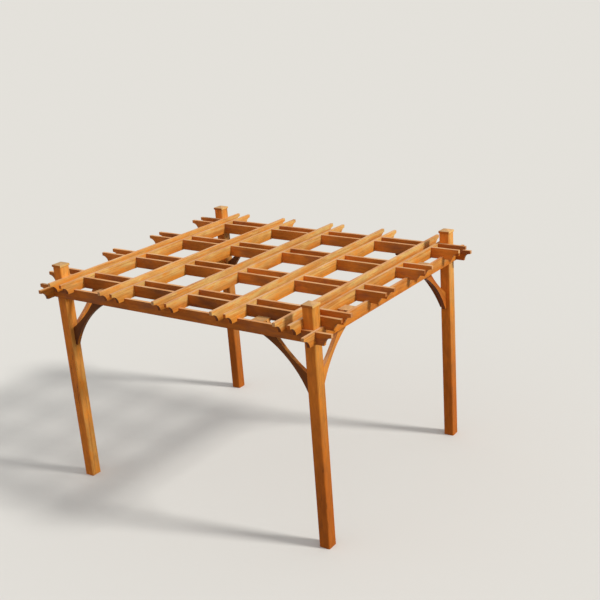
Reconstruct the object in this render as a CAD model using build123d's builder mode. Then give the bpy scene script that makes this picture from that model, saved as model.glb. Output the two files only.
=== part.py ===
from build123d import *
import os

# Wooden pergola: four capped posts, a ring of low beams, and an egg-crate roof of paired boards.
# Millimetres. X runs along the front, Y from front to back, Z up from the ground.
# The origin is on the ground, midway between the four posts.

# Timber sections
POST_SIDE = 140.0
POST_CHAMFER = 8.0
BOARD_THICKNESS = 38.0
BOARD_DEPTH = 140.0
BRACE_THICKNESS = 50.0

# Plan: distances over the outer faces of the posts
SPAN_X = 3960.0
SPAN_Y = 3300.0

# Heights: the posts from the ground up, and how much of them stands above the low beams' underside
POST_HEIGHT = 2935.0
POST_ABOVE_BEAM = 385.0

# Roof grid
RAFTER_PAIRS = 5
PURLIN_PAIRS = 4
RAFTER_PAIR_GAP = 157.0
PURLIN_PAIR_GAP = 157.0
SEAT_DEPTH = 30.0
PAIR_LAP_DEPTH = 100.0
LAP_PLAY = 1.0

# Overhangs past the outer face of the beam that each board crosses
RAFTER_OVERHANG = 190.0
PURLIN_OVERHANG = 218.0
BEAM_OVERHANG = 205.0

# Board ends: a square nose above a quarter-round cove
NOSE_DEPTH = 42.0

# Post caps
CAP_OVERHANG = 6.0
CAP_EDGE = 26.0
CAP_RISE = 22.0
CAP_TOP_SIDE = 16.0

# Knee braces: slender in the middle, with an arched underside and a hollow upper edge
BRACE_INSET = 57.0
BRACE_REACH = 698.0
BRACE_DROP = 662.0
BRACE_TOE = 28.0
BRACE_FOOT = 230.0
BRACE_HEAD = 161.0
BRACE_HEEL = 138.0
BRACE_ARCH = 94.0
BRACE_HOLLOW = 45.0

# Levels and faces that follow from the sizes above
BEAM_UNDERSIDE = POST_HEIGHT - POST_ABOVE_BEAM
BEAM_TOP = BEAM_UNDERSIDE + BOARD_DEPTH
GRID_UNDERSIDE = BEAM_TOP - SEAT_DEPTH
GRID_TOP = GRID_UNDERSIDE + BOARD_DEPTH
HALF_X = SPAN_X / 2
HALF_Y = SPAN_Y / 2
POST_X = HALF_X - POST_SIDE / 2
POST_Y = HALF_Y - POST_SIDE / 2
BEAM_X = HALF_X + BOARD_THICKNESS / 2
BEAM_Y = HALF_Y + BOARD_THICKNESS / 2
BEAM_FACE_X = HALF_X + BOARD_THICKNESS
BEAM_FACE_Y = HALF_Y + BOARD_THICKNESS
COVE_RADIUS = BOARD_DEPTH - NOSE_DEPTH
RAFTER_LENGTH = 2 * (BEAM_FACE_Y + RAFTER_OVERHANG)
PURLIN_LENGTH = 2 * (BEAM_FACE_X + PURLIN_OVERHANG)
FRONT_BEAM_LENGTH = 2 * (BEAM_FACE_X + BEAM_OVERHANG)
SIDE_BEAM_LENGTH = 2 * (BEAM_FACE_Y + BEAM_OVERHANG)
NOTCH_WIDTH = BOARD_THICKNESS + LAP_PLAY
PAIR_LAP_WIDTH = 2 * BOARD_THICKNESS + RAFTER_PAIR_GAP + LAP_PLAY
UP = Vector(0, 0, 1)


# Centres of the boards across a roof direction: pairs evenly spaced between the posts,
# with the outermost boards lying against the posts' inner faces
def board_centres(half_span, pairs, pair_gap):
    first = -half_span + POST_SIDE + BOARD_THICKNESS / 2
    step_in_pair = BOARD_THICKNESS + pair_gap
    last = -first - step_in_pair
    spacing = (last - first) / (pairs - 1)
    starts = [first + spacing * index for index in range(pairs)]
    return [(start, start + step_in_pair) for start in starts]


RAFTER_X = board_centres(HALF_X, RAFTER_PAIRS, RAFTER_PAIR_GAP)
PURLIN_Y = board_centres(HALF_Y, PURLIN_PAIRS, PURLIN_PAIR_GAP)
PAIR_MIDDLES = [(left + right) / 2 for left, right in RAFTER_X]
ALL_PURLIN_Y = [y for pair in PURLIN_Y for y in pair]


def finish(builder, name):
    builder.part.label = name
    export_step(builder.part, f"parts/{name}.step")


# A board standing on edge along the plane's own X, with a coved nose at each end.
# The plane's origin is the middle of the board's underside.
# Laps are (places along the board, width, depth) cut from the top or from the underside.
def coved_board(plane, length, top_laps, bottom_laps):
    with BuildPart() as board:
        with BuildSketch(plane):
            with Locations((0, BOARD_DEPTH / 2)):
                Rectangle(length, BOARD_DEPTH)
            with Locations((-length / 2, 0), (length / 2, 0)):
                Circle(COVE_RADIUS, mode=Mode.SUBTRACT)
            for places, width, depth in top_laps:
                with Locations([(place, BOARD_DEPTH - depth / 2) for place in places]):
                    Rectangle(width, depth, mode=Mode.SUBTRACT)
            for places, width, depth in bottom_laps:
                with Locations([(place, depth / 2) for place in places]):
                    Rectangle(width, depth, mode=Mode.SUBTRACT)
        extrude(amount=BOARD_THICKNESS / 2, both=True)
    return board


# Planes that stand a board along X or along Y, at a given place and level
def along_x(y, z):
    return Plane(origin=(0, y, z), x_dir=(1, 0, 0), z_dir=(0, -1, 0))


def along_y(x, z):
    return Plane(origin=(x, 0, z), x_dir=(0, 1, 0), z_dir=(1, 0, 0))


# Square post with eased long edges
def make_post(x, y):
    with BuildPart() as post:
        with BuildSketch(Plane((x, y, 0))):
            Rectangle(POST_SIDE, POST_SIDE)
        extrude(amount=POST_HEIGHT)
        chamfer(post.edges().filter_by(Axis.Z), POST_CHAMFER)
    return post


# Cap: a square edge band under a low pyramid.
# It is what the same outline leaves when it is cut through once along each side.
def make_cap(x, y):
    half_side = POST_SIDE / 2 + CAP_OVERHANG
    half_top = CAP_TOP_SIDE / 2
    peak = CAP_EDGE + CAP_RISE
    right_half = [(half_side, 0), (half_side, CAP_EDGE), (half_top, peak)]
    left_half = [(-half_top, peak), (-half_side, CAP_EDGE), (-half_side, 0)]
    from_front = Plane(origin=(x, y, POST_HEIGHT), x_dir=(1, 0, 0), z_dir=(0, -1, 0))
    from_right = Plane(origin=(x, y, POST_HEIGHT), x_dir=(0, 1, 0), z_dir=(1, 0, 0))
    with BuildPart() as cap:
        with BuildSketch(from_front):
            with BuildLine():
                Polyline(*right_half, *left_half, close=True)
            make_face()
        extrude(amount=half_side, both=True)
        with BuildSketch(from_right):
            with BuildLine():
                Polyline(*right_half, *left_half, close=True)
            make_face()
        extrude(amount=half_side, both=True, mode=Mode.INTERSECT)
    return cap


# Arched knee brace in the upright plane that runs away from a post along its beam.
# The start is where the brace's outer face meets the post, at the beams' top level: it is the
# sketch's origin, and the thickness goes from there towards the inside of the pergola.
# A flat head plate, as thick as a roof board, fills the slot from the beam to the roof board.
def make_brace(start, away, inward):
    plane = Plane(origin=start, x_dir=away, z_dir=away.cross(UP))
    head_plane = Plane(origin=start - inward * BRACE_INSET, x_dir=away, z_dir=plane.z_dir)
    side = plane.z_dir.dot(inward)
    foot_bottom = -(BOARD_DEPTH + BRACE_DROP)
    foot_top = foot_bottom + BRACE_FOOT
    head_start = BRACE_REACH - BRACE_HEAD
    toe = (BRACE_TOE, foot_bottom)
    heel = (BRACE_REACH, -BRACE_HEEL)
    with BuildPart() as brace:
        with BuildSketch(plane):
            with BuildLine():
                Polyline(toe, (0, foot_bottom), (0, foot_top))
                SagittaArc((0, foot_top), (head_start, 0), -BRACE_HOLLOW)
                Polyline((head_start, 0), (BRACE_REACH, 0), heel)
                SagittaArc(heel, toe, -BRACE_ARCH)
            make_face()
        extrude(amount=BRACE_THICKNESS * side)
        with BuildSketch(head_plane):
            with Locations((BRACE_REACH - BRACE_HEAD / 2, -BOARD_THICKNESS / 2)):
                Rectangle(BRACE_HEAD, BOARD_THICKNESS)
        extrude(amount=POST_SIDE * side)
    return brace


os.makedirs("parts", exist_ok=True)

# Posts and caps, named by the corner where they stand
corners = {
    "front_left": (-1, -1),
    "front_right": (1, -1),
    "back_right": (1, 1),
    "back_left": (-1, 1),
}
for corner, (side_x, side_y) in corners.items():
    finish(make_post(side_x * POST_X, side_y * POST_Y), f"post_{corner}")
    finish(make_cap(side_x * POST_X, side_y * POST_Y), f"cap_{corner}")

# Low beams against the posts' outer faces, half-lapped where they cross at the corners
half_depth = BOARD_DEPTH / 2
for name, side in (("front", -1), ("back", 1)):
    plane = along_x(side * BEAM_Y, BEAM_UNDERSIDE)
    top_laps = [((-BEAM_X, BEAM_X), NOTCH_WIDTH, half_depth)]
    finish(coved_board(plane, FRONT_BEAM_LENGTH, top_laps, []), f"beam_{name}")
for name, side in (("left", -1), ("right", 1)):
    plane = along_y(side * BEAM_X, BEAM_UNDERSIDE)
    bottom_laps = [((-BEAM_Y, BEAM_Y), NOTCH_WIDTH, half_depth)]
    finish(coved_board(plane, SIDE_BEAM_LENGTH, [], bottom_laps), f"beam_{name}")

# Rafters run front to back: seated on the front and back beams, and down over the purlins,
# whose upper part is cut away across each pair of rafters
for index, pair in enumerate(RAFTER_X, start=1):
    for side, x in zip(("left", "right"), pair):
        bottom_laps = [
            (ALL_PURLIN_Y, NOTCH_WIDTH, BOARD_DEPTH - PAIR_LAP_DEPTH),
            ((-BEAM_Y, BEAM_Y), NOTCH_WIDTH, SEAT_DEPTH),
        ]
        rafter = coved_board(along_y(x, GRID_UNDERSIDE), RAFTER_LENGTH, [], bottom_laps)
        finish(rafter, f"rafter_{index}_{side}")

# Purlins run left to right: seated on the side beams, with one wide notch from above for
# each pair of rafters, so that the space between a pair's boards stays open from end to end
for index, pair in enumerate(PURLIN_Y, start=1):
    for side, y in zip(("front", "back"), pair):
        top_laps = [(PAIR_MIDDLES, PAIR_LAP_WIDTH, PAIR_LAP_DEPTH)]
        bottom_laps = [((-BEAM_X, BEAM_X), NOTCH_WIDTH, SEAT_DEPTH)]
        purlin = coved_board(along_x(y, GRID_UNDERSIDE), PURLIN_LENGTH, top_laps, bottom_laps)
        finish(purlin, f"purlin_{index}_{side}")

# Knee braces: one along each beam at each post. Each springs from the post's inner face, and
# its head plate is held between the low beam and the nearest roof board.
for corner, (side_x, side_y) in corners.items():
    front_or_back, left_or_right = corner.split("_")
    inward_x = Vector(-side_x, 0, 0)
    inward_y = Vector(0, -side_y, 0)
    start = Vector(side_x * (HALF_X - POST_SIDE), side_y * (HALF_Y - BRACE_INSET), BEAM_TOP)
    finish(make_brace(start, inward_x, inward_y), f"brace_{front_or_back}_{left_or_right}")
    start = Vector(side_x * (HALF_X - BRACE_INSET), side_y * (HALF_Y - POST_SIDE), BEAM_TOP)
    finish(make_brace(start, inward_y, inward_x), f"brace_{left_or_right}_{front_or_back}")
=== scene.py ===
# %% [markdown]
# # A wooden pergola, dressed for a portrait
# The solid model already has every timber at its real size: four capped posts, a ring of low beams, a roof
# grid of paired boards and eight arched braces. This script gives each of them its own stained and
# weathered wood, and sets up the camera, the light and the floor. Everything is in metres, Z is up, and
# the posts stand on Z = 0.

# %% Load the solid model as a fixed frame
from types import SimpleNamespace

import bpy
import numpy as np
from mathutils import Matrix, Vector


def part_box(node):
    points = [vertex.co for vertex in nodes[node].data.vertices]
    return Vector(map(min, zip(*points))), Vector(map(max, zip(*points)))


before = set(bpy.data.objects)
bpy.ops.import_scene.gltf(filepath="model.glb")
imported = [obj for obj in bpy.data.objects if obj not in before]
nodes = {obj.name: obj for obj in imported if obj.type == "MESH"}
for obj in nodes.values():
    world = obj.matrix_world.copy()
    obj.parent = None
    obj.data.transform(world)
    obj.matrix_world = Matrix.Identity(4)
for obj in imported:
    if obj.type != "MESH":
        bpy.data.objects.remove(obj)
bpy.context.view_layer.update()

# %% [markdown]
# ## Where each timber lies
# A wood pattern has to run along its timber, so each one needs to know its middle and the direction of its
# grain. The middle comes from the timber's own box. The grain of a post stands upright, a board's or a
# cap's runs along X or along Y, and a brace is sawn from a plank that leans at the angle of the brace.
# Turning the pattern with three angles is simpler than drawing another pattern for each direction.

# %% Middles and grain directions
BRACE_LEAN = np.radians(43.0)


def middle(name):
    """Half way between a timber's lowest and highest corners."""
    low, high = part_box(name)
    return (np.array(low) + np.array(high)) / 2


def grain_line(name):
    """The direction in which a timber's grain runs, as a line of length one."""
    if name.startswith("post_"):
        return 0.0, 0.0, 1.0
    if name in ("beam_front", "beam_back") or name.startswith(("purlin_", "cap_")):
        return 1.0, 0.0, 0.0
    if not name.startswith("brace_"):
        return 0.0, 1.0, 0.0
    x, y, _ = middle(name)
    lean = np.sin(BRACE_LEAN)
    if name.startswith(("brace_front_", "brace_back_")):
        return -np.sign(x) * lean, 0.0, np.cos(BRACE_LEAN)
    return 0.0, -np.sign(y) * lean, np.cos(BRACE_LEAN)


def turn_to(line):
    """The angles that tip an upright line over to lie along the given one: about Y if it leans towards X,
    or about X if it leans towards Y."""
    x, y, z = line
    if x:
        return 0.0, float(np.arctan2(x, z)), 0.0
    return -float(np.arctan2(y, z)), 0.0, 0.0


for name in ("post_front_left", "rafter_1_left", "purlin_1_front", "brace_front_left"):
    print(name, np.round(middle(name), 3), np.round(np.degrees(turn_to(grain_line(name)))))

# %% [markdown]
# ## The colours of the stain
# The timber is a pale softwood under a see-through cedar stain. The stain goes into soft early wood more
# than into hard late wood, so it dries as bands of orange and russet. Sun-facing wood has turned golden,
# wood in the lee has stayed red-brown, and whatever faces the sky has faded to a dusty tan. The colours of
# the lee also paint the shade that lies there. The values are written as they look on a screen and turned
# to the linear values that the shader wants.


# %% Palette
def screen(red, green, blue):
    """A colour given as 0 to 255 on the screen, as the linear light that Blender mixes. The curve is the
    standard one: a straight foot below 0.04, and a power of 2.4 above."""
    value = np.array([red, green, blue]) / 255.0
    linear = np.where(value <= 0.04045, value / 12.92, ((value + 0.055) / 1.055) ** 2.4)
    return (*map(float, linear), 1.0)


# The bands of the grain and the stain on them
EARLY_WOOD = screen(220, 142, 46)
LATE_WOOD = screen(172, 88, 18)
RUSSET = screen(184, 84, 26)
KNOT = screen(78, 34, 14)
CRACK = screen(38, 20, 12)

# Faces turned away from the sun, their kept stain painted with shade from the deepest to the most open, and
# the dull bloom on them
DEEP_STAIN_AND_PAINTED_SHADE = screen(96, 40, 8)
SHELTERED = screen(184, 94, 28)
HALF_LIT = screen(190, 104, 36)
OPEN_SHADE = screen(236, 130, 42)
BLOOM = screen(136, 86, 62)

# Faces that the sun and the sky have bleached
SUNNED = screen(230, 190, 116)
SPLASH = screen(208, 124, 30)
FADED = screen(230, 190, 150)
WEATHERED = screen(188, 152, 106)

# Sawn ends
END_DARK = screen(160, 86, 34)
END_PALE = screen(240, 192, 136)
END_WARM = screen(190, 92, 18)
print("early wood", np.round(EARLY_WOOD[:3], 3), "late wood", np.round(LATE_WOOD[:3], 3))

# %% [markdown]
# ## Small helpers for shader networks
# A network reads best as a list of formulas, so one helper adds a node and plugs in what it is given, and
# the others write arithmetic, colour mixing and noise on one line each. Noise gathers round 0.5 and seldom
# comes near 0 or 1, so most of the steps below rise between about 0.3 and 0.7.


# %% Helpers
def add(tree, kind, plugs=None, **settings):
    """Adds a node, sets its options, then fills its sockets: a socket is linked and a value is stored."""
    made = tree.nodes.new(kind)
    for key, value in settings.items():
        setattr(made, key, value)
    for key, value in (plugs or {}).items():
        if isinstance(value, bpy.types.NodeSocket):
            tree.links.new(value, made.inputs[key])
        else:
            made.inputs[key].default_value = value
    return made


def maths(tree, operation, *values):
    """One arithmetic step on numbers or sockets."""
    return add(tree, "ShaderNodeMath", dict(enumerate(values)), operation=operation).outputs[0]


def product(tree, *values):
    """All the numbers or sockets multiplied together, from the first to the last."""
    result = values[0]
    for value in values[1:]:
        result = maths(tree, "MULTIPLY", result, value)
    return result


def vectors(tree, operation, *values):
    """One step on vectors. A length or a dot product comes out as a number, and the rest as a vector."""
    made = add(tree, "ShaderNodeVectorMath", dict(enumerate(values)), operation=operation)
    return made.outputs["Value" if operation in ("LENGTH", "DOT_PRODUCT") else "Vector"]


def between(tree, value, low, high, to_low=0.0, to_high=1.0):
    """A smooth step: to_low below low, to_high above high, and an S curve between them."""
    plugs = {"Value": value, "From Min": low, "From Max": high, "To Min": to_low, "To Max": to_high}
    return add(tree, "ShaderNodeMapRange", plugs, interpolation_type="SMOOTHSTEP").outputs[0]


def blend(tree, amount, first, second, blend_type="MIX"):
    """first where amount is 0 and second where it is 1."""
    plugs = {0: amount, 6: first, 7: second}
    return add(tree, "ShaderNodeMix", plugs, data_type="RGBA", blend_type=blend_type).outputs[2]


def noise(tree, vector, stretch, detail=2.0, roughness=0.5, output="Fac"):
    """Noise whose blobs are about 1/stretch metres long on each axis, as one number or, from the output
    named Color, as three."""
    scaled = vectors(tree, "MULTIPLY", vector, stretch)
    plugs = {"Vector": scaled, "Scale": 1.0, "Detail": detail, "Roughness": roughness}
    return add(tree, "ShaderNodeTexNoise", plugs).outputs[output]


print("shader helpers ready for Blender", bpy.app.version_string)

# %% [markdown]
# ## What differs from one timber to the next
# All the timbers share one recipe, and a short list of values says how each of them departs from it, such as
# how much sun its faces have had. A value that a timber's own list leaves out is taken from the usual list
# here. The tint, the redness and the colour of the sawn nose are missing, because they come from chance
# further down. Thirty-eight materials made by hand could drift apart, and one material for all would make
# every board the same.

# %% The usual values
USUAL = {
    "sun": 0.50,  # how far a face towards the right has bleached
    "sky": 0.80,  # how far a face towards the sky has bleached
    "grey": 0.0,  # how much of a level top has weathered to a dull tan, at the least
    # The lee's colour is kept stain with the shade, or the light thrown back, painted into it
    "lee": SHELTERED,  # the colour of the faces turned away from the sun and the sky
    # A factor that paints shade or light on those faces, below 1 for shade
    "lee_depth": 1.0,  # how light those faces are
    "uneven": 0.0,  # the share by which that differs along the timber
    "bloom": 0.55,  # how strong the dull patches on those faces are
    "cracks": 0.0,  # how far the timber has opened in drying
    "foot": 0.0,  # how far the lower end of a post has kept its deep colour
    "knot_size": 0.011,  # half the width of a knot
    "knot_gap": 0.36,  # the distance from one knot to the next
    "knot_flat": (1.0, 1.0, 1.0),  # 0 on the axis along which a knot runs from face to face
}
print(len(USUAL), "usual values")

# %% [markdown]
# ## Stained softwood
# A tree is a stack of cones, so the honest way to draw wood is in the round: growth rings are circles
# about the pith, and every face of the timber simply cuts through them. The faces then agree at the edges,
# the ends show arcs, and wide boards show the pointed arches of flat-sawn timber. A painted picture could
# never wrap round a lap joint like this. Knots come first, because they push the rings aside.


# %% Knots
def knots(tree, local, look):
    """Where the knots are, and how far they push the rings outwards. Space is cut into cells about
    knot_gap wide, and half of the cells have a knot. Its wood reaches about knot_size from the cell's
    middle, and its push fades to nothing at four times that distance."""
    size, gap = look.knot_size, look.knot_gap
    flattened = vectors(tree, "MULTIPLY", local, look.knot_flat)
    cells = add(tree, "ShaderNodeTexVoronoi", {"Vector": flattened, "Scale": 1.0 / gap, "Randomness": 1.0})
    chance = add(tree, "ShaderNodeSeparateColor", {0: cells.outputs["Color"]}).outputs[0]
    has_knot = between(tree, chance, 0.45, 0.50)
    distance = maths(tree, "MULTIPLY", cells.outputs["Distance"], gap)
    knot = product(tree, between(tree, distance, 0.75 * size, 1.15 * size, 1.0, 0.0), has_knot)
    push = product(tree, between(tree, distance, 0.5 * size, 4.0 * size, 1.0, 0.0), has_knot, 1.1 * size)
    return knot, push


print("knots are", 2 * USUAL["knot_size"], "m wide and about", USUAL["knot_gap"], "m apart")

# %% [markdown]
# The rings come next. A trunk is never quite round or straight, so the space in which the circles are
# drawn is bent a little first, and the rings are of uneven width.

# %% Growth rings
RING_WIDTH = 0.0062
RINGS_OUT_OF_STEP = 3.0
RING_WANDER = (22.0, 22.0, 0.0)
TRUNK_BEND = (0.07, 0.07, 0.0)
TRUNK_WANDER = (2.6, 2.6, 0.75)


def rings(tree, local, push):
    """How dark the rings are at each place, and the bent space that they were drawn in. A ring's number is
    the distance from the pith over the ring's width, and the part of it after the point runs from pale
    early wood at 0 to dark late wood near 1, where the next ring starts suddenly."""
    wander = noise(tree, local, TRUNK_WANDER, output="Color")
    wander = vectors(tree, "SUBTRACT", wander, (0.5, 0.5, 0.5))
    bent = vectors(tree, "ADD", local, vectors(tree, "MULTIPLY", wander, TRUNK_BEND))
    across = vectors(tree, "MULTIPLY", bent, (1.0, 1.0, 0.0))
    radius = maths(tree, "ADD", vectors(tree, "LENGTH", across), push)
    uneven = noise(tree, across, RING_WANDER, detail=1.0)
    number = maths(tree, "ADD", maths(tree, "DIVIDE", radius, RING_WIDTH),
                   maths(tree, "MULTIPLY", uneven, RINGS_OUT_OF_STEP))
    part = maths(tree, "FRACT", number)
    late = product(tree, between(tree, part, 0.30, 0.88), between(tree, part, 0.90, 1.0, 1.0, 0.0))
    return late, bent


print("rings", round(1000 * RING_WIDTH, 1), "mm wide")

# %% [markdown]
# On top of the rings come fibres, streaks, clouds and blotches. They are all the same noise, drawn out
# along the grain by different amounts: a fibre is about 2 mm wide and as long as a hand, a streak is about
# 20 mm wide and a metre long, and the drift is so slow that one end of a board may be lighter than the
# other.

# %% The whole grain of one timber
FIBRE = (420.0, 420.0, 7.0)
STREAK = (46.0, 46.0, 0.9)
CLOUD = (16.0, 16.0, 5.0)
BLOTCH = (7.0, 7.0, 2.4)
DRIFT = (1.0, 1.0, 1.3)


def grain(tree, look):
    """The sockets that the finish is mixed from. local is the place from the pith, with the grain along Z:
    the place on the object, less the pith, turned back by the grain's angles."""
    place = add(tree, "ShaderNodeTexCoord").outputs["Object"]
    plugs = {"Vector": place, "Location": look.pith, "Rotation": turn_to(look.line)}
    local = add(tree, "ShaderNodeMapping", plugs, vector_type="TEXTURE").outputs[0]
    knot, push = knots(tree, local, look)
    late, bent = rings(tree, local, push)
    return SimpleNamespace(
        local=local,
        height=add(tree, "ShaderNodeSeparateXYZ", {0: place}).outputs["Z"],
        knot=knot,
        late=late,
        fibre=noise(tree, bent, FIBRE),
        streak=noise(tree, bent, STREAK, detail=3.0, roughness=0.6),
        cloud=noise(tree, local, CLOUD, detail=3.0, roughness=0.6),
        blotch=noise(tree, local, BLOTCH, detail=3.0, roughness=0.55),
        drift=noise(tree, local, DRIFT, detail=1.0),
    )


print("a streak is about", round(1000 / STREAK[0]), "mm wide and", round(1 / STREAK[2], 1), "m long")

# %% [markdown]
# ## The stain
# The stain is mixed in three coats: late wood over early wood by the rings, russet in blotches, and the
# darker colour again along the streaks. None of them covers fully, as a see-through stain doesn't either.

# %% Stain on bare wood
STAIN_COVER = 0.62


def stained(tree, wood, look):
    """Early wood, then late wood by the rings, russet by the blotches, and late wood by the streaks."""
    colour = blend(tree, maths(tree, "MULTIPLY", wood.late, STAIN_COVER), EARLY_WOOD, LATE_WOOD)
    reddened = between(tree, wood.blotch, 0.30, 0.72, 0.5 * look.russet, look.russet)
    colour = blend(tree, reddened, colour, RUSSET)
    return blend(tree, between(tree, wood.streak, 0.46, 0.70, 0.0, STAIN_COVER), colour, LATE_WOOD)


print("the stain covers", STAIN_COVER, "of the late wood")

# %% [markdown]
# ## Fading
# Fading depends on which way a face looks and how open it lies to the sun, which stays on the right of the
# pergola. The direction of a face is the same from every viewpoint, so the fading stays put when the
# camera moves, as it does on the real wood.

# %% Which way a face looks
TO_RIGHT = (0.25, 0.85)
TO_SKY = (0.25, 0.80)
NEARLY_LEVEL = (0.80, 0.93)
DOWNWARDS = (-0.80, -0.15)
# The most painted shade that an underside gets, over its deep stain
PAINTED_UNDERSIDE_SHADE = 0.85


def facings(tree):
    """How far a face looks to the right, up and straight up, how far it looks down, which is the share of
    painted shade it gets underneath, and how far it looks neither right nor up. The first four are smooth
    steps on the X or the Z of the face's direction, and the last is 1 less the greater of right and up."""
    normal = add(tree, "ShaderNodeNewGeometry").outputs["Normal"]
    parts = add(tree, "ShaderNodeSeparateXYZ", {0: normal}).outputs
    right = between(tree, parts["X"], *TO_RIGHT)
    sky = between(tree, parts["Z"], *TO_SKY)
    return SimpleNamespace(
        normal=normal,
        right=right,
        sky=sky,
        level=between(tree, parts["Z"], *NEARLY_LEVEL),
        down=between(tree, parts["Z"], *DOWNWARDS, PAINTED_UNDERSIDE_SHADE, 0.0),
        away=maths(tree, "SUBTRACT", 1.0, maths(tree, "MAXIMUM", right, sky)),
    )


print("a face counts as level up to a slope of", round(np.degrees(np.arccos(NEARLY_LEVEL[1]))), "degrees")

# %% [markdown]
# The faces in the lee keep most of their stain, and their colour also paints the shade they lie in. They
# lean towards one colour, because no sun brings out their grain, and dull patches of bloom lie on them.
# The undersides get the darkest painted shade of all.

# %% Faces in the lee
LEE_COVER = 0.65


def lee_stain_and_painted_shade(tree, wood, look, facing, colour):
    """The lee's colour, kept stain with painted shade, over the faces turned away, then bloom where the
    blotches are strong, and painted shade with deep stain underneath."""
    colour = blend(tree, maths(tree, "MULTIPLY", facing.away, LEE_COVER), colour, look.lee)
    bloom = between(tree, wood.blotch, 0.46, 0.70, 0.0, look.bloom)
    colour = blend(tree, maths(tree, "MULTIPLY", facing.away, bloom), colour, BLOOM)
    # Painted shade, over deep stain, on the undersides
    return blend(tree, facing.down, colour, DEEP_STAIN_AND_PAINTED_SHADE)


print("the lee's colour covers", LEE_COVER, "of the grain")

# %% [markdown]
# Rain and light reach the upper part of a board first, so its sunny side is palest along the top edge and
# keeps its orange along the bottom. Where the stain has gone in deepest, in blotches and streaks, less of
# it has bleached. Dust and weather dull whatever lies level, and the foot of a post has kept its deep
# colour.

# %% Faces in the sun and under the sky
BOTTOM_EDGE_SHARE = 0.10
DUST = 0.60
FOOT_FADES_UP = (0.4, 2.7)


def bleached(tree, wood, look, facing, colour):
    """Each colour is laid on by a product of shares: golden by the face's turn to the right, its height on
    the board and the wood's bareness, tan by its turn to the sky and the bareness, and so on."""
    upper = between(tree, wood.height, *look.level, BOTTOM_EDGE_SHARE, 1.0)
    bare = product(tree, between(tree, wood.blotch, 0.34, 0.60, 1.0, 0.45),
                   between(tree, wood.streak, 0.35, 0.66, 1.0, 0.40))
    colour = blend(tree, product(tree, facing.right, upper, bare, look.sun), colour, SUNNED)
    splash = between(tree, wood.cloud, 0.48, 0.66, 0.0, 0.60)
    colour = blend(tree, product(tree, facing.right, splash), colour, SPLASH)
    colour = blend(tree, product(tree, facing.sky, look.sky, bare), colour, FADED)
    dull = between(tree, wood.cloud, 0.34, 0.66, look.grey, max(look.grey, DUST))
    colour = blend(tree, product(tree, facing.level, dull), colour, WEATHERED)
    low_down = between(tree, wood.height, *FOOT_FADES_UP, 1.0, 0.0)
    return blend(tree, product(tree, low_down, look.foot), colour, LATE_WOOD)


print("a board's bottom edge bleaches", BOTTOM_EDGE_SHARE, "as far as its top edge")

# %% [markdown]
# ## Sawn ends
# A board ends in a short upright nose with a hollow cut below it. The nose drinks up more stain or
# bleaches on its own, so it has a colour of its own. The hollow lies in shade, and that shade is painted
# into it together with the deepest stain.

# %% Noses and hollows
NOSE_BEGINS, NOSE_IS_FULL = 0.030, 0.020
END_COVER = 0.80


def sawn_ends(tree, wood, look, facing, colour):
    """A face is an end if it looks along the grain: then the dot product of its direction and the grain's
    is near 1 or -1. The nose is the part of it next to the board's top."""
    along = maths(tree, "ABSOLUTE", vectors(tree, "DOT_PRODUCT", facing.normal, look.line))
    ends = maths(tree, "MULTIPLY", between(tree, along, 0.80, 0.96), END_COVER)
    top = look.level[1]
    nose = between(tree, wood.height, top - NOSE_BEGINS, top - NOSE_IS_FULL)
    hollow = product(tree, maths(tree, "SUBTRACT", 1.0, nose), facing.away)
    colour = blend(tree, product(tree, ends, nose), colour, look.end)
    # Painted shade, over the deepest stain, in the hollow below the nose
    return blend(tree, product(tree, ends, hollow), colour, DEEP_STAIN_AND_PAINTED_SHADE)


print("a nose begins", round(1000 * NOSE_BEGINS), "mm below the upper level")

# %% [markdown]
# ## Light and dark in one timber
# At the end every colour is multiplied by a factor. Its fine part follows the fibres and its broad part the
# clouds, and both stay near 1. Faces turned away have a third part, their painted shade or light, which
# drifts along the timber, because a long board seldom dries evenly.

# %% Tone
FIBRE_TONE = (0.92, 1.06)
CLOUD_TONE = (0.84, 1.12)


def toned(tree, wood, look, facing, colour):
    """The colour times three factors: for the fibres, for the clouds and for the painted light of the lee.
    """
    fine = between(tree, wood.fibre, 0.30, 0.72, *(tone * look.tint for tone in FIBRE_TONE))
    broad = between(tree, wood.cloud, 0.28, 0.72, *CLOUD_TONE)
    darkest, lightest = (1.0 - look.uneven) * look.lee_depth, (1.0 + look.uneven) * look.lee_depth
    depth = between(tree, wood.drift, 0.36, 0.64, darkest, lightest)
    factor = product(tree, fine, broad, between(tree, facing.away, 0.0, 1.0, 1.0, depth))
    factors = add(tree, "ShaderNodeCombineXYZ", {0: factor, 1: factor, 2: factor}).outputs[0]
    return blend(tree, 1.0, colour, factors, "MULTIPLY")


print("fibres", FIBRE_TONE, "clouds", CLOUD_TONE)

# %% [markdown]
# ## Drying cracks
# A post holds the whole heart of its tree and always splits as it dries. The splits are long, narrow and
# broken off, and none of them reaches through, so they are drawn and pressed into the surface by the bump
# below.

# %% Cracks
CRACK_GRAIN = (34.0, 34.0, 0.55)
CRACK_EDGE = (0.0025, 0.0075)
CRACK_PLACES = (5.0, 5.0, 0.8)


def drying_cracks(tree, wood, look):
    """Lines along which one noise passes through 0.5, kept only where another noise is high."""
    split = noise(tree, wood.local, CRACK_GRAIN)
    place = noise(tree, wood.local, CRACK_PLACES, detail=1.0)
    off_line = maths(tree, "ABSOLUTE", maths(tree, "SUBTRACT", split, 0.5))
    line = between(tree, off_line, *CRACK_EDGE, 1.0, 0.0)
    return product(tree, line, between(tree, place, 0.52, 0.60, 0.0, look.cracks))


print("a crack is up to about", round(1 / CRACK_GRAIN[2], 1), "m long")

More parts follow.
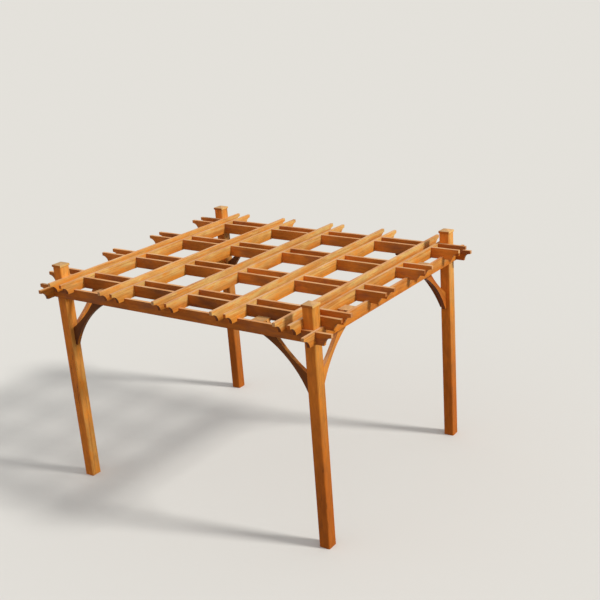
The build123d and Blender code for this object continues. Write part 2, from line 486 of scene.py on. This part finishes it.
# %% [markdown]
# ## The finished surface
# Stained softwood hardly shines. Late wood is a little smoother than early wood, knots and faces under the
# sky are rougher, and the late wood stands up from the early wood by a fraction of a millimetre, because
# it wears more slowly. Relief this fine belongs in the material: as geometry it would take millions of
# faces.

# %% Roughness and relief
EARLY_ROUGH, LATE_ROUGH, WORN_ROUGH = 0.68, 0.54, 0.12
RELIEF_DEPTH, RELIEF_STRENGTH = 0.0012, 0.55
LATE_RELIEF, FIBRE_RELIEF, CRACK_RELIEF = 0.35, 0.5, 3.0


def roughness(tree, wood, facing):
    """From early to late wood by the rings, and rougher by the greater of knot and sky."""
    plain = between(tree, wood.late, 0.0, 1.0, EARLY_ROUGH, LATE_ROUGH)
    worn = maths(tree, "MULTIPLY", maths(tree, "MAXIMUM", wood.knot, facing.sky), WORN_ROUGH)
    return maths(tree, "ADD", plain, worn)


def relief(tree, wood, crack):
    """The rings plus the fibres less the cracks, each times its own height."""
    raised = maths(tree, "ADD", maths(tree, "MULTIPLY", wood.late, LATE_RELIEF),
                   maths(tree, "MULTIPLY", wood.fibre, FIBRE_RELIEF))
    height = maths(tree, "SUBTRACT", raised, maths(tree, "MULTIPLY", crack, CRACK_RELIEF))
    plugs = {"Strength": RELIEF_STRENGTH, "Distance": RELIEF_DEPTH, "Height": height}
    return add(tree, "ShaderNodeBump", plugs).outputs[0]


print("relief", round(1000 * RELIEF_DEPTH, 1), "mm deep")

# %% [markdown]
# ## The timber material
# The layers go on in the order in which they happened to the real wood: the grain grew, the stain went on,
# the shade kept it and the sun took it, and last of all the wood dried and cracked.

# %% One timber, layer by layer
SHINE = 0.18
KNOT_COVER = 0.88


def timber(name, look):
    """A material whose colour, roughness and relief come from the layers above."""
    material = bpy.data.materials.new(name)
    material.use_nodes = True
    tree = material.node_tree
    wood = grain(tree, look)
    facing = facings(tree)
    crack = drying_cracks(tree, wood, look)

    colour = stained(tree, wood, look)
    colour = lee_stain_and_painted_shade(tree, wood, look, facing, colour)
    colour = bleached(tree, wood, look, facing, colour)
    colour = sawn_ends(tree, wood, look, facing, colour)
    colour = blend(tree, maths(tree, "MULTIPLY", wood.knot, KNOT_COVER), colour, KNOT)
    colour = toned(tree, wood, look, facing, colour)
    colour = blend(tree, crack, colour, CRACK)

    shader = tree.nodes["Principled BSDF"]
    shader.inputs["Specular IOR Level"].default_value = SHINE
    tree.links.new(colour, shader.inputs["Base Color"])
    tree.links.new(roughness(tree, wood, facing), shader.inputs["Roughness"])
    tree.links.new(relief(tree, wood, crack), shader.inputs["Normal"])
    return material


print("ready to dress", len(nodes), "timbers")

# %% [markdown]
# ## What the timbers of one kind share
# Posts hold their heart and have cracked most. Their faces stand in open shade, which is painted on them
# brighter than on the boards' faces under the roof. Braces hang under the roof and have kept their stain,
# and the roof's shade is painted on their lee, deepest on the braces along X, whose upper edges fade
# less; on their flat heads dust settles as it does on the caps. A purlin's shady side has painted light
# that the boards round it throw back.

# %% Values for each kind
# Both heights lie far below a post's foot, so that all of the post bleaches as a board's top edge does
BELOW_THE_FOOT = (-9.0, -8.0)
# The posts' faces turned away are painted in the brighter colour of open shade
POSTS = {"level": BELOW_THE_FOOT, "cracks": 0.85, "knot_size": 0.013, "knot_gap": 0.42, "foot": 0.90,
         "lee": OPEN_SHADE, "bloom": 0.10}
# Painted shade of the roof on the braces' lee, deepest along X, where the upper edges also fade less
BRACES = {"grey": 0.75, "lee_depth": 0.90}
BRACES_ALONG_X = {"grey": 0.75, "sky": 0.60, "lee_depth": 0.42}
BOARDS_ALONG_X = {"knot_flat": (1.0, 0.0, 1.0), "cracks": 0.35, "sky": 0.95}
BOARDS_ALONG_Y = {"knot_flat": (0.0, 1.0, 1.0), "cracks": 0.35, "sky": 0.90}
# Painted light, thrown back by the boards round it, on a purlin's shady side
PURLINS = {"lee": HALF_LIT, "uneven": 0.22}
RIGHT_RAFTERS = {"sun": 1.20, "end": END_WARM}
CAPS = {"sun": 0.80, "sky": 0.95, "grey": 0.80, "end": SUNNED}


def shared_by_kind(name, line):
    """The values of a timber's kind, and over them those of its place in the roof."""
    if name.startswith("post_"):
        return POSTS
    if name.startswith("brace_"):
        return BRACES_ALONG_X if line[0] else BRACES
    boards = BOARDS_ALONG_X if line[0] else BOARDS_ALONG_Y
    if name.startswith("purlin_"):
        return boards | PURLINS
    if name.startswith("rafter_") and name.endswith("_right"):
        return boards | RIGHT_RAFTERS
    if name.startswith("cap_"):
        return boards | CAPS
    return boards


for name in ("brace_left_front", "purlin_1_front", "rafter_1_right"):
    print(name, "shares", sorted(shared_by_kind(name, grain_line(name))))

# %% [markdown]
# ## What the place in the row changes
# The left board of each rafter pair stands a little in the shade of the right one, and the pairs further
# right have had more sun. Seen from the front, the first purlin is the darkest, and light that comes down
# through the roof makes the others paler; both are painted on their shady sides. The posts differ too, as
# some stand freer than others. Timbers that look unlike their neighbours have a few values of their own
# at the end, and some of these paint the shade or the sun that falls on them.

# %% Values for single timbers
POST_FADE = {
    "post_front_left": 0.45,
    "post_front_right": 0.25,
    "post_back_right": 0.60,
    "post_back_left": 0.90,
}
LEFT_RAFTER_FADE = {1: 0.85, 2: 1.05, 3: 1.60, 4: 1.50, 5: 1.60}
# Painted light on each purlin's shady side: the first front one darkest, the others paler
FRONT_PURLIN_LEE_LIGHT = {1: 0.76, 2: 1.20, 3: 1.30, 4: 1.30}
BACK_PURLIN_LEE_LIGHT = {1: 1.13, 2: 1.16, 3: 1.19, 4: 1.22}
ODD_TIMBERS = {
    "post_back_right": {"tint": 1.09},
    # Painted sunlight on this post: a lighter tint and no dark foot, with its faces turned away painted back
    # into shade
    "post_front_left": {"tint": 1.12, "foot": 0.0, "lee_depth": 0.82},
    "brace_right_back": {"russet": 0.80, "sun": 0.10, "tint": 0.88},
    # Painted deep shade on this brace's faces turned away
    "brace_front_left": {"lee_depth": 0.32},
    # Painted shade of the roof and the post on this brace: less fading and a darker tint
    "brace_front_right": {"sky": 0.25, "tint": 0.90},
    "rafter_5_right": {"sun": 1.00},
    "cap_front_left": {"grey": 0.95, "tint": 0.90},
    "beam_front": {"lee_depth": 0.87},
    "purlin_1_front": {"end": END_DARK},
    "purlin_3_front": {"end": END_DARK},
    "purlin_4_front": {"end": END_PALE},
}


def own_values(name):
    """What a timber's place in its row gives it, and over that its own odd values."""
    kind, *place = name.split("_")
    by_place = {}
    if kind == "post":
        by_place = {"sun": POST_FADE[name]}
    elif kind == "rafter" and place[1] == "left":
        by_place = {"sun": LEFT_RAFTER_FADE[int(place[0])]}
    elif kind == "purlin":
        purlin_lee_lights = FRONT_PURLIN_LEE_LIGHT if place[1] == "front" else BACK_PURLIN_LEE_LIGHT
        by_place = {"lee_depth": purlin_lee_lights[int(place[0])]}
    return by_place | ODD_TIMBERS.get(name, {})


for name in ("post_front_left", "rafter_3_left", "purlin_3_front"):
    print(name, own_values(name))

# %% [markdown]
# ## One material for each timber
# No two boards come from the same tree, so each timber gets its own pith, its own knots and its own depth
# and redness of stain, drawn from a seeded list so that the picture is the same each time. A post is cut
# round its pith. A board is cut well to one side of it, which makes it flat-sawn, and each is cut from
# another stretch of the trunk.

# %% Piths
POST_PITH = (0.022, 0.022, 3.0)
BRACE_PITH = (0.04, 0.04, 0.08)
BOARD_PITH_ALONG, BOARD_PITH_ASIDE = 9.0, 0.03
BOARD_PITH_NEAREST, BOARD_PITH_MORE = 0.05, 0.06


def pith_of(name, line, side, rise, slide):
    """A point on the pith: the timber's middle, moved by the most that its kind allows times a chance from
    -1 to 1. A board's pith always lies at least BOARD_PITH_NEAREST above or below its middle."""
    if name.startswith("post_"):
        moved = np.multiply(POST_PITH, (side, rise, slide))
    elif name.startswith("brace_"):
        moved = np.multiply(BRACE_PITH, (side, rise, slide))
    else:
        above = np.sign(rise) * (BOARD_PITH_NEAREST + BOARD_PITH_MORE * abs(rise))
        along, aside = BOARD_PITH_ALONG * slide, BOARD_PITH_ASIDE * side
        moved = (along, aside, above) if line[0] else (aside, along, above)
    return tuple(middle(name) + moved)


print("a board's pith is at least", BOARD_PITH_NEAREST, "m above or below its middle")

# %% [markdown]
# The stain is never quite the same twice either. Posts vary less than boards, and the noses of rafters are
# paler than other ends.

# %% Tint, redness and ends
TINT, POST_TINT = (0.98, 0.08), (1.02, 0.06)
PALENESS, RAFTER_PALENESS = (0.35, 0.35), (0.60, 0.15)
REDNESS = (0.24, 0.20)


def vary(usual_and_most, chance):
    """A usual value plus the most that it changes times a chance from -1 to 1."""
    usual, most = usual_and_most
    return usual + most * chance


def by_chance(name, slide, depth, redness):
    """tint is how light the timber is as a whole, and russet how far blotches of its stain have reddened.
    end is the colour of the sawn nose: the dark one plus its paleness times the step to the pale one."""
    paleness = vary(RAFTER_PALENESS if name.startswith("rafter_") else PALENESS, slide)
    return {
        "tint": vary(POST_TINT if name.startswith("post_") else TINT, depth),
        "russet": vary(REDNESS, redness),
        "end": tuple(dark + paleness * (pale - dark) for dark, pale in zip(END_DARK, END_PALE)),
    }


print("tints from", round(vary(TINT, -1), 2), "to", round(vary(TINT, 1), 2))

# %% [markdown]
# Now every timber is dressed. A later list wins over an earlier one: the usual values, chance, the kind,
# and last the timber's own. The level holds the heights at which a sunny side is darkest and palest, a
# little inside the timber's underside and top.

# %% Dress every timber
LEVEL_INSET = 0.02

rng = np.random.default_rng(7)
for name in sorted(nodes):
    side, rise, slide, depth, redness = rng.uniform(-1, 1, 5)
    line = grain_line(name)
    low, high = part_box(name)
    look = SimpleNamespace(**(
        USUAL
        | {"line": line, "pith": pith_of(name, line, side, rise, slide)}
        | {"level": (low[2] + LEVEL_INSET, high[2] - LEVEL_INSET)}
        | by_chance(name, slide, depth, redness)
        | shared_by_kind(name, line)
        | own_values(name)
    ))
    nodes[name].data.materials.clear()
    nodes[name].data.materials.append(timber(f"stained_{name}", look))
print(len(nodes), "timbers dressed")

# %% [markdown]
# ## Camera
# The photograph was taken from above, off the front right corner. The place, the angles and the lens were
# worked out from the corners of the posts and boards in the picture. The camera leans a little to one
# side, as hand-held cameras do, and the picture's middle lies left of the lens's axis.

# %% Camera at the photograph's viewpoint
PICTURE = 600.0
FOCAL_PIXELS = 970.433
AXIS_PIXEL = 360.0
EYE = np.array([7.5949, -9.4612, 6.2966])
YAW, PITCH, ROLL = np.radians([32.706, 18.927, -3.146])
FILM_WIDTH = 36.0
FAR_LIMIT = 3000.0

forward = np.array([-np.sin(YAW) * np.cos(PITCH), np.cos(YAW) * np.cos(PITCH), -np.sin(PITCH)])
level_right = np.array([np.cos(YAW), np.sin(YAW), 0.0])
level_up = np.cross(level_right, forward)
right = level_right * np.cos(ROLL) + level_up * np.sin(ROLL)
up = -level_right * np.sin(ROLL) + level_up * np.cos(ROLL)

camera_data = bpy.data.cameras.new("camera")
camera_data.sensor_width = FILM_WIDTH
camera_data.lens = FOCAL_PIXELS / PICTURE * FILM_WIDTH
camera_data.shift_x = (PICTURE / 2 - AXIS_PIXEL) / PICTURE
camera_data.clip_end = FAR_LIMIT
camera = bpy.data.objects.new("camera", camera_data)
bpy.context.scene.collection.objects.link(camera)
pose = np.eye(4)
pose[:3, 0], pose[:3, 1], pose[:3, 2], pose[:3, 3] = right, up, -forward, EYE
camera.matrix_world = Matrix(pose)
bpy.context.scene.camera = camera
print("lens", round(camera_data.lens, 2), "mm, shift", round(camera_data.shift_x, 3))

# %% [markdown]
# ## Light and floor
# A broad lamp stands high on the right and a little behind, where the sun was, and the pale world fills
# the shade. A floor and a world that look pale would also throw pale light up under the roof. So each of
# them has two shaders: the camera sees the pale one, and the light that reaches the pergola comes from the
# dull one.


# %% Two shaders in one
def shown_and_working(tree, shown, working):
    """The shown shader for rays from the camera, from mirrors and through glass, and the working one for
    all the others. The mix is the greatest of three shares, each of them 0 or 1."""
    rays = add(tree, "ShaderNodeLightPath").outputs
    reflected = maths(tree, "MAXIMUM", rays["Is Glossy Ray"], rays["Is Transmission Ray"])
    seen = maths(tree, "MAXIMUM", rays["Is Camera Ray"], reflected)
    return add(tree, "ShaderNodeMixShader", {0: seen, 1: working, 2: shown}).outputs[0]


print("the camera sees one shader, and the other lights the timbers")

# %% [markdown]
# The lamp is much wider than the real sun, so that the shadows of one board on the next have soft edges.
# The world is a little warmer where it fills the shade than where it is seen.

# %% Lamp and world
SUN_AZIMUTH, SUN_HEIGHT, SUN_WIDTH = np.radians([14.0, 38.0, 9.0])
SUN_STRENGTH, FILL_STRENGTH = 2.8, 0.66
SUN_COLOUR = (1.0, 0.965, 0.90)
FILL_COLOUR = (1.0, 0.98, 0.95, 1.0)
BACKDROP_COLOUR = (0.86, 0.86, 0.85, 1.0)

lamp_data = bpy.data.lights.new("key", "SUN")
lamp_data.energy = SUN_STRENGTH
lamp_data.angle = SUN_WIDTH
lamp_data.color = SUN_COLOUR
lamp = bpy.data.objects.new("key", lamp_data)
bpy.context.scene.collection.objects.link(lamp)
lamp.rotation_euler = (0.0, np.radians(90.0) - SUN_HEIGHT, SUN_AZIMUTH)

world = bpy.data.worlds.new("studio")
bpy.context.scene.world = world
world.use_nodes = True
tree = world.node_tree
tree.nodes.clear()
fill = add(tree, "ShaderNodeBackground", {"Color": FILL_COLOUR, "Strength": FILL_STRENGTH}).outputs[0]
backdrop = add(tree, "ShaderNodeBackground", {"Color": BACKDROP_COLOUR, "Strength": 1.0}).outputs[0]
add(tree, "ShaderNodeOutputWorld", {"Surface": shown_and_working(tree, backdrop, fill)})
print("lamp", SUN_STRENGTH, "and fill", FILL_STRENGTH)

# %% [markdown]
# The floor is one flat square, so wide that its far edge is the horizon.

# %% Floor
FLOOR_HALF = 700.0
FLOOR_SHOWN = (0.64, 0.64, 0.63, 1.0)
FLOOR_WORKING = (0.16, 0.15, 0.14, 1.0)

floor_mesh = bpy.data.meshes.new("floor")
corners = FLOOR_HALF * np.array([[-1, -1, 0], [1, -1, 0], [1, 1, 0], [-1, 1, 0]], dtype=float)
floor_mesh.from_pydata(corners.tolist(), [], [(0, 1, 2, 3)])
floor = bpy.data.objects.new("floor", floor_mesh)
bpy.context.scene.collection.objects.link(floor)

paint = bpy.data.materials.new("floor_paint")
paint.use_nodes = True
tree = paint.node_tree
tree.nodes.clear()
dull = add(tree, "ShaderNodeBsdfDiffuse", {"Color": FLOOR_WORKING}).outputs[0]
pale = add(tree, "ShaderNodeBsdfDiffuse", {"Color": FLOOR_SHOWN}).outputs[0]
add(tree, "ShaderNodeOutputMaterial", {"Surface": shown_and_working(tree, pale, dull)})
floor.data.materials.append(paint)
print("floor", 2 * FLOOR_HALF, "m square")

# %% [markdown]
# ## Finish
# The colours are shown as they were mixed, with no film curve over them.

# %% Finish
bpy.context.scene.view_settings.view_transform = "Standard"
